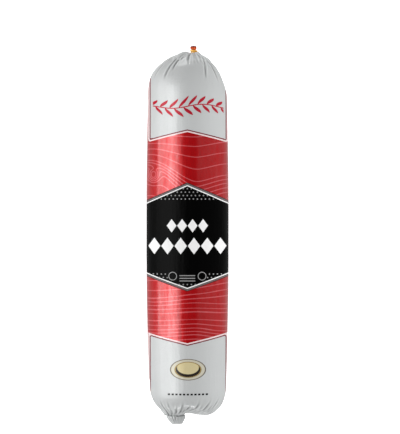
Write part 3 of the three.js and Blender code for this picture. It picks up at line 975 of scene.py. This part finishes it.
# Drawn aluminium wire, dipped in a clear gold-orange lacquer. To the eye: a small bright golden ring.
lacquered, tree = new_material("lacquered_drawn_aluminium_wire")
place = add(tree, "ShaderNodeTexCoord").outputs["Object"]
scuffs = add(tree, "ShaderNodeTexNoise", inputs={"Vector": place, "Scale": 1 / (1.5 * MM), "Detail": 4.0})
tint = add(tree, "ShaderNodeValToRGB", inputs={"Fac": scuffs.outputs["Fac"]})
stops = tint.color_ramp.elements
stops[0].position, stops[0].color = 0.35, linear("#ee9a24")
stops[1].position, stops[1].color = 0.65, linear("#ffd262")
dull = add(tree, "ShaderNodeMapRange", inputs={"Value": scuffs.outputs["Fac"], "To Min": 0.2, "To Max": 0.45})
drawn = add(
    tree,
    "ShaderNodeBsdfPrincipled",
    inputs={
        "Base Color": tint.outputs["Color"],
        "Metallic": 0.25,
        "Roughness": dull.outputs["Result"],
        "Coat Weight": 0.6,
        "Coat Roughness": 0.1,
    },
)
add(tree, "ShaderNodeOutputMaterial", inputs={"Surface": drawn.outputs["BSDF"]})

hung_clip = new_clip("hung_clip", HUNG_WIRE, lacquered)
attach(hung_clip, "root")
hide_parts("hung_end_clip")


# ---------------------------------------------------------------------------------------------
# The lower end's clip: plain aluminium wire, thicker, bent once round the gathered neck and
# crimped until its two ends meet underneath. The film's skirt hides it.
# ---------------------------------------------------------------------------------------------

LOWER_WIRE = {
    "neck": 2.4,
    "gap": 0.15,
    "thickness": 2.0,
    "turns": 0.975,
    "pitch": 0.0,
    "spread": 0.0,
    "end": -95.0,
    "steps": 110,
    "at": (-9.3, -148.7, float(barrel_radius(np.array(-148.7)) * np.cos(CONTACT_ANGLE))),
}

# Plain drawn aluminium wire with fine die lines along it. To the eye: a soft grey shine.
plain_wire, tree = new_material("plain_drawn_aluminium_wire")
place = add(tree, "ShaderNodeTexCoord").outputs["Object"]
scuffs = add(tree, "ShaderNodeTexNoise", inputs={"Vector": place, "Scale": 1 / (1.2 * MM), "Detail": 5.0})
tint = add(tree, "ShaderNodeValToRGB", inputs={"Fac": scuffs.outputs["Fac"]})
stops = tint.color_ramp.elements
stops[0].position, stops[0].color = 0.3, linear("#a9abad")
stops[1].position, stops[1].color = 0.7, linear("#d6d8da")
dull = add(tree, "ShaderNodeMapRange", inputs={"Value": scuffs.outputs["Fac"], "To Min": 0.25, "To Max": 0.5})
drawn = add(
    tree,
    "ShaderNodeBsdfPrincipled",
    inputs={"Base Color": tint.outputs["Color"], "Metallic": 1.0, "Roughness": dull.outputs["Result"]},
)
add(tree, "ShaderNodeOutputMaterial", inputs={"Surface": drawn.outputs["BSDF"]})

lower_clip = new_clip("lower_clip", LOWER_WIRE, plain_wire)
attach(lower_clip, "root")
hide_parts("lower_end_clip")


# ---------------------------------------------------------------------------------------------
# The studio: a pale table in even light, a tall softbox and a bright strip that fades towards the
# middle on the left, a dim card on the right, a low strip past each end, and the camera overhead.
# ---------------------------------------------------------------------------------------------

table_top, tree = new_material("pale_lit_table")
white = add(
    tree,
    "ShaderNodeBsdfPrincipled",
    inputs={
        "Base Color": linear("#f2f2f2"),
        "Roughness": 0.9,
        "Specular IOR Level": 0.0,
        "Emission Color": (1, 1, 1, 1),
        "Emission Strength": 0.72,
    },
)
add(tree, "ShaderNodeOutputMaterial", inputs={"Surface": white.outputs["BSDF"]})
half = 3000.0
corners = np.array([[-half, -half, -0.2], [half, -half, -0.2], [half, half, -0.2], [-half, half, -0.2]])
table = new_piece("table_top", corners, np.array([[0, 1, 2, 3]]), table_top, smooth=False)
table.visible_diffuse = False  # its glow is for the eye: the sausage is lit by the air and the lamps
table.visible_glossy = False
table.visible_shadow = False

# What the film mirrors of the table is a duller sheet just under it.
dull_sheet, tree = new_material("dull_card")
dim = add(tree, "ShaderNodeEmission", inputs={"Color": (1, 1, 1, 1), "Strength": 0.5})
add(tree, "ShaderNodeOutputMaterial", inputs={"Surface": dim.outputs["Emission"]})
lowered = corners - [0, 0, 1.0]
mirrored = new_piece("table_underlay", lowered, np.array([[0, 1, 2, 3]]), dull_sheet, smooth=False)
mirrored.visible_camera = False
mirrored.visible_diffuse = False
mirrored.visible_shadow = False

world = bpy.data.worlds.new("studio_air")
bpy.context.scene.world = world
world.use_nodes = True
world.node_tree.nodes["Background"].inputs["Color"].default_value = (1, 1, 1, 1)
world.node_tree.nodes["Background"].inputs["Strength"].default_value = 0.62
world.cycles_visibility.glossy = False


def panel_light(name, over_top, arc, distance, length, radiance, glossy=True, diffuse=True, turned=0.0):
    """A rectangular lamp facing the sausage's middle. It covers arc degrees, centred over_top degrees from
    straight overhead towards +X, or turned degrees from there towards +Y, at a distance. Its power is its
    radiance times pi times its area."""
    angle, turn = np.radians(over_top), np.radians(turned)
    towards = Vector((np.sin(angle) * np.cos(turn), np.sin(angle) * np.sin(turn), np.cos(angle)))
    data = bpy.data.lights.new(name, "AREA")
    data.shape = "RECTANGLE"
    data.size = length * MM
    data.size_y = 2 * distance * np.tan(np.radians(arc / 2)) * MM
    data.energy = radiance * np.pi * data.size * data.size_y
    lamp = bpy.data.objects.new(name, data)
    bpy.context.scene.collection.objects.link(lamp)
    lamp.location = Vector((0, 0, 33 * MM)) + towards * distance * MM
    across = Vector((-np.sin(turn), np.cos(turn), 0))
    lamp.rotation_mode = "QUATERNION"
    facing = np.array([across, towards.cross(across), towards]).T
    lamp.rotation_quaternion = Matrix(facing.tolist()).to_quaternion()
    lamp.visible_glossy = glossy
    lamp.visible_diffuse = diffuse
    lamp.visible_camera = False
    return lamp


# The strip fades towards the middle in two steps, as the edge of a softbox does.
panel_light("left_strip", -46.5, 17, 700, 860, 8.6, diffuse=False)
panel_light("left_strip_shoulder", -32.5, 11, 700, 860, 6.2, diffuse=False)
panel_light("left_strip_edge", -22.5, 9, 700, 860, 2.6, diffuse=False)
panel_light("left_softbox", -73, 36, 700, 1000, 5.2, diffuse=False)
panel_light("left_fill", -74, 40, 700, 1000, 2.9, glossy=False)
panel_light("right_card", 60, 66, 700, 900, 0.45, diffuse=False)
panel_light("right_fill", 68, 44, 700, 900, 2.4, glossy=False)
panel_light("hung_end_strip", 92, 14, 900, 420, 9.0, diffuse=False, turned=97.0)
panel_light("lower_end_strip", 86, 16, 900, 420, 11.0, diffuse=False, turned=-97.0)

sensor = 36.0
lens = 200.0
long_side = 348.3  # of the view at the height of the sausage's middle
camera_data = bpy.data.cameras.new("overhead")
camera_data.sensor_width = sensor
camera_data.lens = lens
camera_data.clip_end = 20.0
camera = bpy.data.objects.new("overhead", camera_data)
bpy.context.scene.collection.objects.link(camera)
camera.location = Vector((9.99, 14.28, 32.0 + long_side * lens / sensor)) * MM
camera.rotation_euler = (0, 0, 0)
bpy.context.scene.camera = camera
bpy.context.scene.view_settings.view_transform = "Standard"
